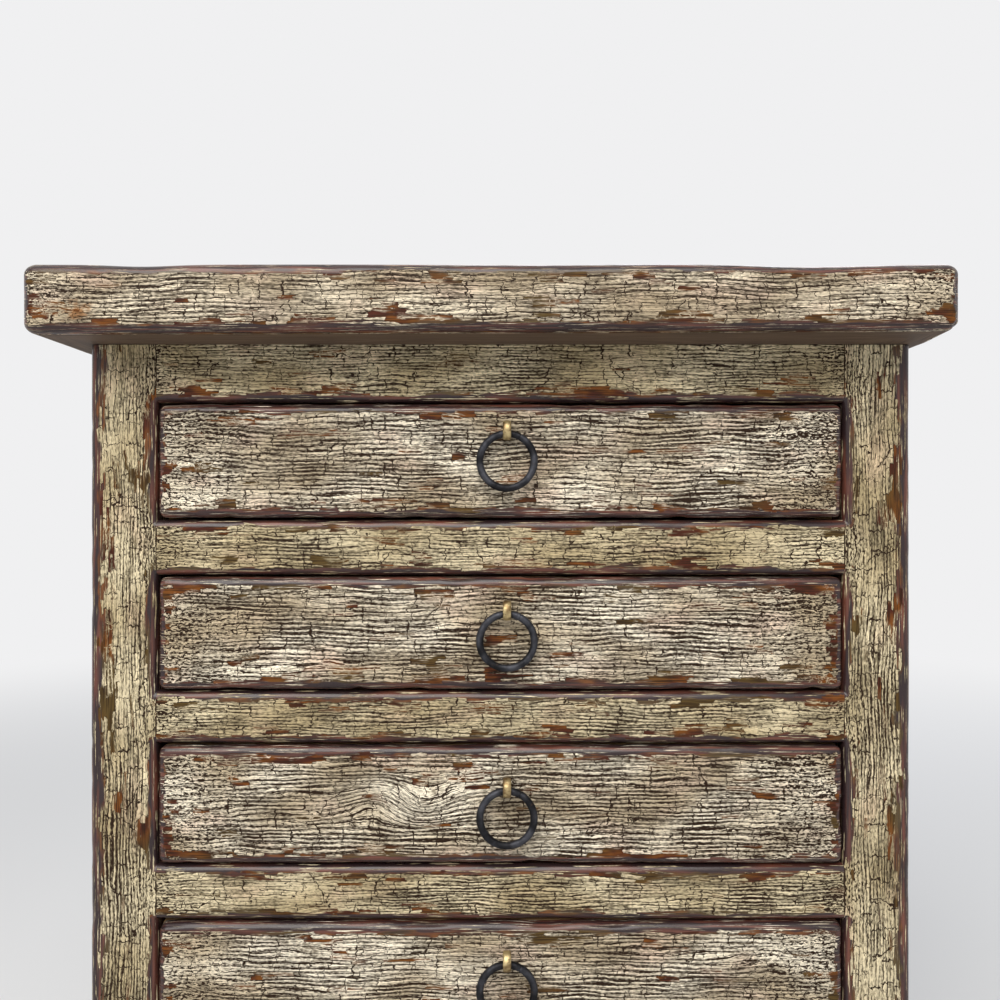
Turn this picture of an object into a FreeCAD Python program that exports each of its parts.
"""Chest of drawers with iron ring pulls, in painted and worn softwood.

A frame of four posts, tenoned rails and floating panels carries a thick mitred top. The inset drawers
run on strips let into the posts. Each drawer hangs its ring from a brass split pin.

Millimetres. The front faces -Y, +X is to the right and +Z is up. The origin is on the floor, under the
middle of the top, and the carcass stands a little to the right of it.
"""

import FreeCAD
import Part

import math
import os

from FreeCAD import Vector

# Carcass and top, overall
carcass_width = 565.0
carcass_depth = 350.0
leg_height = 76.0
side_overhang = 20.0
front_overhang = 42.0
back_overhang = 8.0

# How far the carcass stands to the right of the middle of the top
carcass_offset = 6.0

# Front frame, from the top down. The chest is hand made, so no two bays are quite alike.
opening_heights = [81.0, 80.0, 83.5, 82.0, 82.0]
front_rail_heights = [39.5, 38.0, 36.0, 38.0, 38.0, 40.0]
front_rail_depth = 30.0
opening_round = 5.5

# Posts
post_width = 46.0
post_depth = 45.0
post_outer_round = 5.0
foot_chamfer = 2.0

# Top
top_thickness = 46.0
top_member_width = 70.0
top_corner_round = 9.0
top_edge_round = 7.5
top_panel_thickness = 18.0
top_tongue_thickness = 8.0

# Side and back frames. Their rails line up with the front's top and bottom rails.
side_rail_thickness = 28.0
side_panel_thickness = 10.0
side_panel_recess = 8.0
side_opening_round = 4.0
back_rail_thickness = 25.0
back_panel_thickness = 8.0
back_panel_recess = 8.0

# Joinery
rail_tenon_thickness = 12.0
rail_tenon_setback = 10.0
back_tenon_thickness = 10.0
side_tenon_thickness = 12.0
side_tenon_length = 26.0
tenon_shoulder = 6.0
post_tenon_size = 20.0
post_tenon_height = 20.0
mitre_tenon_thickness = 12.0
mitre_tenon_width = 30.0
mitre_tenon_inset = 22.0
mitre_tenon_end_cover = 14.0
groove_depth = 8.0
mortise_wall = 2.0
fit = 0.1
end_gap = 1.0

# Runners
runner_width = 18.0
runner_height = 18.0
runner_housing_depth = 3.0
runner_tenon_length = 8.0
runner_tenon_shoulder = 3.0

# Drawer boxes
drawer_reveal = 1.0
drawer_proud = 1.5
drawer_front_thickness = 22.0
drawer_corner_round = 6.0
drawer_edge_round = 5.5
drawer_side_thickness = 12.0
drawer_side_clearance = 1.5
drawer_side_drop = 4.0
drawer_back_thickness = 10.0
drawer_back_inset = 6.0
drawer_back_drop = 4.0
drawer_bottom_thickness = 5.0
drawer_bottom_rise = 6.0
drawer_groove_depth = 4.5
drawer_slide_gap = 0.2
drawer_stop_gap = 0.8

# Half-blind dovetails
dovetail_length = 14.0
dovetail_neck = 17.0
dovetail_flare = 3.0
dovetails_per_corner = 2

# Ring pulls. The drop is from the drawer front's upper edge to the middle of the eye.
pull_offset = 4.5
pull_drops = [19.0, 22.0, 26.0, 22.0, 22.0]
eye_outer_radius = 6.8
eye_strip_width = 5.6
eye_strip_thickness = 1.5
eye_strip_edge = 0.4
eye_standoff = 0.4
pin_hole_radius = 3.5
pin_leg_length = 14.0
ring_mean_radius = 18.5
ring_wire_radius = 2.6
ring_clearance = 0.4

# Places worked out from the sizes above
carcass_height = leg_height + sum(opening_heights) + sum(front_rail_heights)
panel_low = leg_height + front_rail_heights[-1]
panel_high = carcass_height - front_rail_heights[0]
top_width = carcass_width + 2 * side_overhang
top_depth = carcass_depth + front_overhang + back_overhang
half_width = carcass_width / 2
front_face = front_overhang - top_depth / 2
back_face = front_face + carcass_depth
front_post_back = front_face + post_depth
back_post_front = back_face - post_depth
half_opening = half_width - post_width
side_tenon_outer = half_width - (side_rail_thickness - side_tenon_thickness) / 2
side_tenon_inner = side_tenon_outer - side_tenon_thickness
rail_tenon_end = side_tenon_inner - fit - mortise_wall - end_gap
back_panel_back = back_face - back_panel_recess
back_panel_front = back_panel_back - back_panel_thickness
side_panel_outer = half_width - side_panel_recess
side_panel_inner = side_panel_outer - side_panel_thickness
top_panel_half_width = top_width / 2 - top_member_width
top_panel_half_depth = top_depth / 2 - top_member_width
top_height = carcass_height + top_thickness
top_panel_low = top_height - top_panel_thickness
box_half_width = half_opening - drawer_side_clearance
box_inner = box_half_width - drawer_side_thickness
drawer_front_face = front_face - drawer_proud
drawer_front_back = drawer_front_face + drawer_front_thickness
drawer_rear = back_panel_front - drawer_stop_gap
eye_inner_radius = eye_outer_radius - eye_strip_thickness
eye_centre_y = drawer_front_face - eye_standoff - eye_outer_radius
ring_axis_drop = eye_inner_radius - ring_wire_radius - ring_clearance


def opening_spans():
    """The (low, high) of each drawer opening, from the top down."""
    spans = []
    level = carcass_height
    for rail, opening in zip(front_rail_heights, opening_heights):
        level -= rail
        spans.append((level - opening, level))
        level -= opening
    return spans


def front_rail_spans():
    """The (low, high) of each front rail, from the top down."""
    spans = []
    level = carcass_height
    for index, rail in enumerate(front_rail_heights):
        spans.append((level - rail, level))
        level -= rail
        if index < len(opening_heights):
            level -= opening_heights[index]
    return spans


def block(x, y, z):
    """A box from its (low, high) pair along each axis."""
    return Part.makeBox(x[1] - x[0], y[1] - y[0], z[1] - z[0], Vector(x[0], y[0], z[0]))


def grown(span, amount):
    """A (low, high) pair moved outwards at both ends."""
    return (span[0] - amount, span[1] + amount)


def fused(shapes):
    """One solid from several that meet."""
    whole = shapes[0]
    for shape in shapes[1:]:
        whole = whole.fuse(shape)
    return whole.removeSplitter()


def cut_all(shape, tools):
    """The shape with every tool taken out of it."""
    for tool in tools:
        shape = shape.cut(tool)
    return shape


def mirrored(shape):
    """The left-hand twin of a right-hand piece."""
    return shape.mirror(Vector(0, 0, 0), Vector(1, 0, 0))


def prism(points, direction):
    """A straight prism on a polygon."""
    return Part.Face(Part.makePolygon(points + [points[0]])).extrude(direction)


def edges_where(shape, test):
    """The edges whose every corner passes the test."""
    return [edge for edge in shape.Edges if all(test(vertex.Point) for vertex in edge.Vertexes)]


def near(a, b):
    """Whether two coordinates are the same place."""
    return abs(a - b) < 1e-6


def flare_outline(span, face, inward, radius, place):
    """The outline of an opening whose edges are rounded where they meet a face.

    It runs across the opening and into the depth, and place turns that pair into a point in space.
    """
    low, high = span
    proud = face - inward * radius
    deep = face + inward * radius
    turn = radius * (1 - math.sqrt(0.5))
    sides = [
        Part.LineSegment(place(low - radius, proud), place(high + radius, proud)),
        Part.LineSegment(place(high + radius, proud), place(high + radius, face)),
        Part.Arc(
            place(high + radius, face),
            place(high + turn, face + inward * turn),
            place(high, deep),
        ),
        Part.LineSegment(place(high, deep), place(low, deep)),
        Part.Arc(
            place(low, deep),
            place(low - turn, face + inward * turn),
            place(low - radius, face),
        ),
        Part.LineSegment(place(low - radius, face), place(low - radius, proud)),
    ]
    return Part.Face(Part.Wire([side.toShape() for side in sides]))


def front_flare(z_span):
    """What the rounded edges of one front opening take off the frame."""
    x_span = (-half_opening, half_opening)
    z_low, z_high = grown(z_span, opening_round)
    x_low, x_high = grown(x_span, opening_round)
    upright = flare_outline(x_span, front_face, 1, opening_round, lambda a, d: Vector(a, d, z_low))
    level = flare_outline(z_span, front_face, 1, opening_round, lambda a, d: Vector(x_low, d, a))
    upright = upright.extrude(Vector(0, 0, z_high - z_low))
    level = level.extrude(Vector(x_high - x_low, 0, 0))
    return upright.common(level)


def side_flare(z_span):
    """What the rounded edges of one right-hand side opening take off the frame."""
    y_span = (front_post_back, back_post_front)
    radius = side_opening_round
    z_low, z_high = grown(z_span, radius)
    y_low, y_high = grown(y_span, radius)
    upright = flare_outline(y_span, half_width, -1, radius, lambda a, d: Vector(d, a, z_low))
    level = flare_outline(z_span, half_width, -1, radius, lambda a, d: Vector(d, y_low, a))
    upright = upright.extrude(Vector(0, 0, z_high - z_low))
    level = level.extrude(Vector(0, y_high - y_low, 0))
    return upright.common(level)


def front_flares():
    """The rounded edges of all the drawer openings, and of the space under the bottom rail."""
    below = (-2 * opening_round, leg_height)
    return [front_flare(span) for span in opening_spans() + [below]]


def side_flares():
    """The rounded edges of the right side's panel opening, and of the space under its bottom rail."""
    below = (-2 * side_opening_round, leg_height)
    return [side_flare((panel_low, panel_high)), side_flare(below)]


def tenon_x(z_span, y_span, end, gap):
    """A tenon along X, or its mortise when gap is more than nothing, right through from end to end."""
    shoulder = tenon_shoulder - gap
    return block((-end, end), grown(y_span, gap), (z_span[0] + shoulder, z_span[1] - shoulder))


def rail_tenon_y():
    """The depth that a front rail's tenon takes up."""
    start = front_face + rail_tenon_setback
    return (start, start + rail_tenon_thickness)


def back_tenon_y():
    """The depth that a back rail's tenon takes up, centred in the rail."""
    middle = back_face - back_rail_thickness / 2
    return (middle - back_tenon_thickness / 2, middle + back_tenon_thickness / 2)


def side_tenon(z_span, gap):
    """The right-hand side rail's tenons along Y, or their mortises."""
    extra = side_tenon_length + (end_gap if gap else 0)
    shoulder = tenon_shoulder - gap
    return block(
        grown((side_tenon_inner, side_tenon_outer), gap),
        grown((front_post_back, back_post_front), extra),
        (z_span[0] + shoulder, z_span[1] - shoulder),
    )


def frame_rail_spans():
    """The (low, high) of the top and bottom rails of a side or the back."""
    return {"top": (panel_high, carcass_height), "bottom": (leg_height, panel_low)}


def side_panel_body(gap):
    """The right-hand panel, or with a gap the room that its grooves give it."""
    reach = groove_depth if gap else groove_depth - end_gap
    return block(
        grown((side_panel_inner, side_panel_outer), gap),
        grown((front_post_back, back_post_front), reach),
        grown((panel_low, panel_high), reach),
    )


def back_panel_body(gap):
    """The back panel, or with a gap the room that its grooves give it."""
    reach = groove_depth if gap else groove_depth - end_gap
    return block(
        grown((-half_opening, half_opening), reach),
        grown((back_panel_front, back_panel_back), gap),
        grown((panel_low, panel_high), reach),
    )


def runner_body(opening, gap):
    """The right-hand strip that one drawer slides on, or with a gap the room cut for it."""
    top = opening[0]
    x_span = (half_opening - runner_width, half_opening + runner_housing_depth)
    rail_back = front_face + front_rail_depth
    strip = block(
        grown(x_span, gap),
        (rail_back, back_face - back_rail_thickness + gap),
        grown((top - runner_height, top), gap),
    )
    shoulder = runner_tenon_shoulder - gap
    tenon_end = rail_back - runner_tenon_length - (end_gap if gap else 0)
    tenon = block(
        (x_span[0] + shoulder, half_opening - shoulder),
        (tenon_end, rail_back),
        (top - runner_height + shoulder, top - shoulder),
    )
    return fused([strip, tenon])


def post_tenon(y_span, gap):
    """The stub on a right-hand post that holds the top, or its mortise."""
    x_middle = half_width - post_width / 2
    y_middle = sum(y_span) / 2
    reach = post_tenon_size / 2 + gap
    height = post_tenon_height + (end_gap if gap else 0)
    return block(
        (x_middle - reach, x_middle + reach),
        (y_middle - reach, y_middle + reach),
        (carcass_height, carcass_height + height),
    )


def post_blank(y_span, outer_y):
    """A right-hand post before its mortises, with its outer corner eased and its foot chamfered."""
    x_span = (half_width - post_width, half_width)
    post = block(x_span, y_span, (0, carcass_height))
    corner = edges_where(post, lambda p: near(p.x, half_width) and near(p.y, outer_y))
    post = post.makeFillet(post_outer_round, corner)
    return post.makeChamfer(foot_chamfer, edges_where(post, lambda p: near(p.z, 0)))


def front_post():
    """The right-hand front post."""
    y_span = (front_face, front_post_back)
    tools = front_flares() + side_flares()
    for span in front_rail_spans():
        tools.append(tenon_x(span, rail_tenon_y(), rail_tenon_end + end_gap, fit))
    for span in frame_rail_spans().values():
        tools.append(side_tenon(span, fit))
    for opening in opening_spans():
        tools.append(runner_body(opening, fit))
    tools.append(side_panel_body(fit))
    post = cut_all(post_blank(y_span, front_face), tools)
    return fused([post, post_tenon(y_span, 0)])


def back_post():
    """The right-hand back post."""
    y_span = (back_post_front, back_face)
    tools = side_flares()
    for span in frame_rail_spans().values():
        tools.append(tenon_x(span, back_tenon_y(), rail_tenon_end + end_gap, fit))
    for span in frame_rail_spans().values():
        tools.append(side_tenon(span, fit))
    for opening in opening_spans():
        tools.append(runner_body(opening, fit))
    tools += [side_panel_body(fit), back_panel_body(fit)]
    post = cut_all(post_blank(y_span, back_face), tools)
    return fused([post, post_tenon(y_span, 0)])


def front_rail(span, opening_below):
    """One rail of the front frame, with a tenon at each end.

    A rail over an opening has the runners of the opening above it let into its back.
    """
    body = block(
        (-half_opening, half_opening), (front_face, front_face + front_rail_depth), span
    )
    rail = fused([body, tenon_x(span, rail_tenon_y(), rail_tenon_end, 0)])
    rail = cut_all(rail, front_flares())
    if opening_below:
        socket = runner_body(opening_below, fit)
        rail = cut_all(rail, [socket, mirrored(socket)])
    return rail


def side_rail(span):
    """One rail of the right-hand side frame."""
    body = block(
        (half_width - side_rail_thickness, half_width), (front_post_back, back_post_front), span
    )
    rail = fused([body, side_tenon(span, 0)])
    return cut_all(rail, side_flares() + [side_panel_body(fit)])


def back_rail(span):
    """One rail of the back frame."""
    body = block((-half_opening, half_opening), (back_face - back_rail_thickness, back_face), span)
    rail = fused([body, tenon_x(span, back_tenon_y(), rail_tenon_end, 0)])
    return rail.cut(back_panel_body(fit))


def top_slab():
    """The outside of the whole top, with every edge eased."""
    slab = block(
        (-top_width / 2, top_width / 2),
        (-top_depth / 2, top_depth / 2),
        (carcass_height, top_height),
    )
    upright = [edge for edge in slab.Edges if near(edge.Length, top_thickness)]
    slab = slab.makeFillet(top_corner_round, upright)
    rims = edges_where(slab, lambda p: near(p.z, carcass_height))
    rims += edges_where(slab, lambda p: near(p.z, top_height))
    return slab.makeFillet(top_edge_round, rims)


def top_panel(gap):
    """The panel inside the top's frame, with a tongue all round, or with a gap the room for it."""
    half_x = top_panel_half_width
    half_y = top_panel_half_depth
    reach = groove_depth if gap else groove_depth - end_gap
    board = block((-half_x, half_x), (-half_y, half_y), (top_panel_low, top_height))
    tongue = block(
        grown((-half_x, half_x), reach),
        grown((-half_y, half_y), reach),
        grown((top_panel_low, top_panel_low + top_tongue_thickness), gap),
    )
    if not gap:
        board = block(
            (fit - half_x, half_x - fit), (fit - half_y, half_y - fit), (top_panel_low, top_height)
        )
    return fused([board, tongue])


def top_member(outer, inner):
    """One mitred member of the top's frame, between its outer and inner corners."""
    base = carcass_height - top_thickness
    points = [Vector(x, y, base) for x, y in outer + inner]
    return top_slab().common(prism(points, Vector(0, 0, 3 * top_thickness)))


def mitre_tenon(front, gap):
    """The right-hand tenon that joins a long member of the top to its end member."""
    side = -1 if front else 1
    start = side * (top_depth / 2 - mitre_tenon_inset)
    finish = start - side * mitre_tenon_width
    low = carcass_height + post_tenon_height + end_gap + mortise_wall
    end = top_width / 2 - mitre_tenon_end_cover + (end_gap if gap else 0)
    return block(
        (top_width / 2 - top_member_width, end),
        grown((min(start, finish), max(start, finish)), gap),
        grown((low, low + mitre_tenon_thickness), gap),
    )


def top_corners():
    """The right-hand outer and inner corners of the top's frame, as (x, y) for the front."""
    outer = (top_width / 2, -top_depth / 2)
    inner = (top_panel_half_width, -top_panel_half_depth)
    return outer, inner


def onto_carcass(shape):
    """A shape drawn about the carcass' own middle, moved to where the carcass stands."""
    return shape.translated(Vector(carcass_offset, 0, 0))


def post_mortises():
    """The room in the top's underside for the stubs on all four posts."""
    mortises = []
    for y_span in ((front_face, front_post_back), (back_post_front, back_face)):
        mortise = post_tenon(y_span, fit)
        mortises += [onto_carcass(mortise), onto_carcass(mirrored(mortise))]
    return mortises


def top_long_member(front):
    """The top's front or back member, which carries the tenons."""
    (outer_x, outer_y), (inner_x, inner_y) = top_corners()
    if not front:
        outer_y, inner_y = -outer_y, -inner_y
    member = top_member(
        [(-outer_x, outer_y), (outer_x, outer_y)], [(inner_x, inner_y), (-inner_x, inner_y)]
    )
    tenon = mitre_tenon(front, 0)
    member = fused([member, tenon, mirrored(tenon)])
    return member.cut(top_panel(fit))


def top_end_member():
    """The top's right-hand end member, with the mortises for the long members' tenons."""
    (outer_x, outer_y), (inner_x, inner_y) = top_corners()
    member = top_member(
        [(outer_x, outer_y), (outer_x, -outer_y)], [(inner_x, -inner_y), (inner_x, inner_y)]
    )
    return cut_all(member, [mitre_tenon(True, fit), mitre_tenon(False, fit), top_panel(fit)])


def dovetail(y_base, z_middle, gap):
    """One tail of a right-hand drawer side, narrow at its shoulder, or its socket."""
    neck = dovetail_neck / 2 + gap
    wide = neck + dovetail_flare
    tip = y_base - dovetail_length - gap
    inner = box_inner - gap
    outer = half_opening if gap else box_half_width
    points = [
        Vector(inner, y_base, z_middle - neck),
        Vector(inner, tip, z_middle - wide),
        Vector(inner, tip, z_middle + wide),
        Vector(inner, y_base, z_middle + neck),
    ]
    return prism(points, Vector(outer - inner, 0, 0))


def drawer_side_span(opening):
    """The (low, high) of a drawer's sides: they rest on the runner and stay clear of the rail above."""
    return (opening[0] + drawer_slide_gap, opening[1] - drawer_side_drop)


def tail_heights(opening):
    """The middle heights of the tails, evenly spread up the drawer side."""
    low, high = drawer_side_span(opening)
    step = (high - low) / dovetails_per_corner
    return [low + step * (index + 0.5) for index in range(dovetails_per_corner)]


def drawer_bottom_body(opening, gap):
    """The drawer's bottom board, or with a gap the room that its grooves give it."""
    low = opening[0] + drawer_slide_gap + drawer_bottom_rise
    reach = drawer_groove_depth if gap else drawer_groove_depth - end_gap / 2
    return block(
        grown((-box_inner, box_inner), reach),
        (drawer_front_back - reach, drawer_rear),
        grown((low, low + drawer_bottom_thickness), gap),
    )


def drawer_back_body(opening, gap):
    """The drawer's back board, or with a gap its housings in the sides."""
    low, high = drawer_side_span(opening)
    start = drawer_rear - drawer_back_inset - drawer_back_thickness
    floor = low + drawer_bottom_rise + drawer_bottom_thickness
    reach = drawer_groove_depth if gap else drawer_groove_depth - end_gap / 2
    return block(
        grown((-box_inner, box_inner), reach),
        grown((start, start + drawer_back_thickness), gap),
        (floor, high - drawer_back_drop),
    )


def eye_height(opening, drop):
    """The height of the middle of a pull's eye."""
    return opening[1] - drawer_reveal - drop


def drawer_front(opening, drop):
    """A drawer front with rounded corners and edges, sockets for the tails and the pin's hole."""
    half = half_opening - drawer_reveal
    low, high = opening[0] + drawer_reveal, opening[1] - drawer_reveal
    board = block((-half, half), (drawer_front_face, drawer_front_back), (low, high))
    corners = [edge for edge in board.Edges if near(edge.Length, drawer_front_thickness)]
    board = board.makeFillet(drawer_corner_round, corners)
    rim = edges_where(board, lambda p: near(p.y, drawer_front_face))
    board = board.makeFillet(drawer_edge_round, rim)
    tools = [drawer_bottom_body(opening, fit)]
    for height in tail_heights(opening):
        socket = dovetail(drawer_front_back, height, fit)
        tools += [socket, mirrored(socket)]
    hole_start = Vector(pull_offset, drawer_front_face, eye_height(opening, drop))
    tools.append(
        Part.makeCylinder(pin_hole_radius, drawer_front_thickness, hole_start, Vector(0, 1, 0))
    )
    return cut_all(board, tools)


def drawer_side(opening):
    """A right-hand drawer side, with tails at the front and housings for the bottom and back."""
    span = drawer_side_span(opening)
    board = block((box_inner, box_half_width), (drawer_front_back, drawer_rear), span)
    tails = [dovetail(drawer_front_back, height, 0) for height in tail_heights(opening)]
    board = fused([board] + tails)
    return cut_all(board, [drawer_bottom_body(opening, fit), drawer_back_body(opening, fit)])


def pull_pin(opening, drop):
    """A brass split pin: a half-round eye in front, two legs through the wood, spread behind it."""
    height = eye_height(opening, drop)
    centre = Vector(pull_offset, eye_centre_y, height)
    half_strip = eye_strip_width / 2
    shoulder = eye_inner_radius + eye_strip_edge
    low = centre + Vector(-half_strip, 0, eye_inner_radius)
    high = centre + Vector(half_strip, 0, eye_inner_radius)
    shoulder_low = centre + Vector(-half_strip, 0, shoulder)
    shoulder_high = centre + Vector(half_strip, 0, shoulder)
    crown = centre + Vector(0, 0, eye_outer_radius)
    section = Part.Wire(
        [
            Part.LineSegment(low, high).toShape(),
            Part.LineSegment(high, shoulder_high).toShape(),
            Part.Arc(shoulder_high, crown, shoulder_low).toShape(),
            Part.LineSegment(shoulder_low, low).toShape(),
        ]
    )
    eye = Part.Face(section).revolve(centre, Vector(1, 0, 0), 360)
    x_span = (pull_offset - half_strip, pull_offset + half_strip)
    behind = drawer_front_back + fit
    shank = block(
        x_span,
        (eye_centre_y + eye_inner_radius + eye_strip_edge / 2, behind + eye_strip_thickness),
        (height - eye_strip_thickness, height + eye_strip_thickness),
    )
    legs = block(
        x_span,
        (behind, behind + eye_strip_thickness),
        (height - pin_leg_length, height + pin_leg_length),
    )
    return fused([eye, shank, legs])


def pull_ring(opening, drop):
    """The iron ring, hanging in the eye."""
    axis_height = eye_height(opening, drop) - ring_axis_drop
    centre = Vector(pull_offset, eye_centre_y, axis_height - ring_mean_radius)
    return Part.makeTorus(ring_mean_radius, ring_wire_radius, centre, Vector(0, 1, 0))


def build_top():
    """The mitred top, with the posts' mortises in its underside, and its panel."""
    end = top_end_member()
    members = {
        "top_front_rail": top_long_member(True),
        "top_back_rail": top_long_member(False),
        "top_right_end": end,
        "top_left_end": mirrored(end),
    }
    pieces = {name: cut_all(member, post_mortises()) for name, member in members.items()}
    pieces["top_panel"] = top_panel(0)
    return pieces


def build_carcass():
    """Posts, rails, panels and runners."""
    pieces = {}
    for name, post in (("front", front_post()), ("back", back_post())):
        pieces["post_" + name + "_right"] = post
        pieces["post_" + name + "_left"] = mirrored(post)
    openings = opening_spans()
    for index, span in enumerate(front_rail_spans()):
        above = openings[index - 1] if index else None
        pieces["front_rail_%d" % (index + 1)] = front_rail(span, above)
    for name, span in frame_rail_spans().items():
        rail = side_rail(span)
        pieces["side_" + name + "_rail_right"] = rail
        pieces["side_" + name + "_rail_left"] = mirrored(rail)
    for name, span in frame_rail_spans().items():
        pieces["back_" + name + "_rail"] = back_rail(span)
    panel = side_panel_body(0)
    pieces["side_panel_right"] = panel
    pieces["side_panel_left"] = mirrored(panel)
    pieces["back_panel"] = back_panel_body(0)
    runners = [runner_body(opening, 0) for opening in openings]
    pieces["drawer_runners"] = Part.makeCompound(runners + [mirrored(r) for r in runners])
    return pieces


def build_drawer(number, opening, drop):
    """One drawer with its pull."""
    side = drawer_side(opening)
    names = {
        "front": drawer_front(opening, drop),
        "side_right": side,
        "side_left": mirrored(side),
        "back": drawer_back_body(opening, 0),
        "bottom": drawer_bottom_body(opening, 0),
        "pull_pin": pull_pin(opening, drop),
        "ring": pull_ring(opening, drop),
    }
    return {"drawer_%d_%s" % (number, name): shape for name, shape in names.items()}


def build():
    """Every piece of the chest, by name."""
    below = build_carcass()
    for index, (opening, drop) in enumerate(zip(opening_spans(), pull_drops)):
        below.update(build_drawer(index + 1, opening, drop))
    pieces = {name: onto_carcass(shape) for name, shape in below.items()}
    pieces.update(build_top())
    return pieces


def main():
    """Writes one STEP file for each piece."""
    os.makedirs("parts", exist_ok=True)
    pieces = build()
    for name, shape in sorted(pieces.items()):
        shape.exportStep(os.path.join("parts", name + ".step"))
        box = shape.BoundBox
        print(
            "%-24s %7.1f x %6.1f x %6.1f mm, %d solid(s)"
            % (name, box.XLength, box.YLength, box.ZLength, len(shape.Solids))
        )
    print("top at %.1f mm, %d pieces" % (top_height, len(pieces)))


main()
